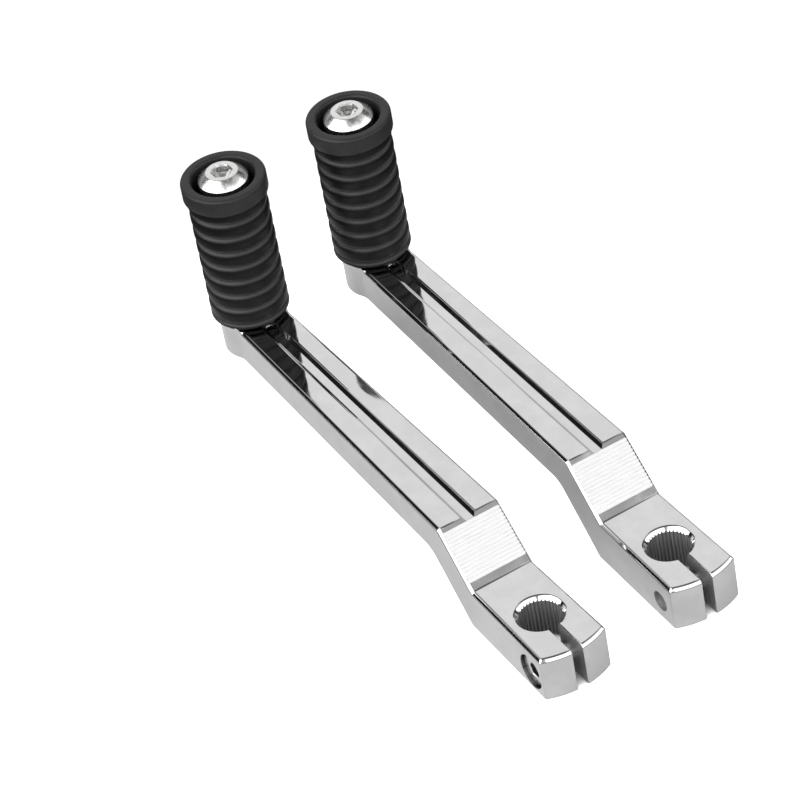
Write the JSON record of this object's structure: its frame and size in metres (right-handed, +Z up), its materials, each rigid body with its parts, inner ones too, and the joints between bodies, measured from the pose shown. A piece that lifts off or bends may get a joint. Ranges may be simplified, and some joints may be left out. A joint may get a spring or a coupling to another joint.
{
  "type": "gear shift lever",
  "caption": "Matching chromed motorcycle gear shift levers, each with a split splined clamp and a ribbed rubber foot peg that turns on a bolted spacer.",
  "frame": {"origin": "on the middle plane between the two levers, midway along the overall length, at the level of the clamps' lower faces", "axes": "+X along the levers towards the clamps' noses, +Y across the pair towards the right-hand lever, +Z up along the foot pegs"},
  "size_m": [0.1804, 0.0662, 0.077],
  "materials": {
    "chrome": "bright chrome plate",
    "polished_steel": "polished",
    "zinc_steel": "bright zinc plate",
    "black_bush": "black oxide",
    "peg_rubber": "matte moulded rubber"
  },
  "bodies": {
    "levers": {"left_arm": "chrome", "left_pinch_screw": "zinc_steel", "left_peg_screw": "polished_steel", "left_peg_spacer": "zinc_steel", "right_arm": "chrome", "right_pinch_screw": "zinc_steel", "right_peg_screw": "polished_steel", "right_peg_spacer": "zinc_steel"},
    "left_peg": {"left_peg_bush": "black_bush", "left_peg_rubber": "peg_rubber"},
    "right_peg": {"right_peg_bush": "black_bush", "right_peg_rubber": "peg_rubber"}
  },
  "joints": [
    {"name": "left_peg_spin", "type": "hinge", "parent": "levers", "child": "left_peg", "pos_m": [-0.07792, -0.0208, 0.05], "axis": [0, 0, 1], "continuous": true},
    {"name": "right_peg_spin", "type": "hinge", "parent": "levers", "child": "right_peg", "pos_m": [-0.07792, 0.0208, 0.05], "axis": [0, 0, 1], "continuous": true}
  ]
}
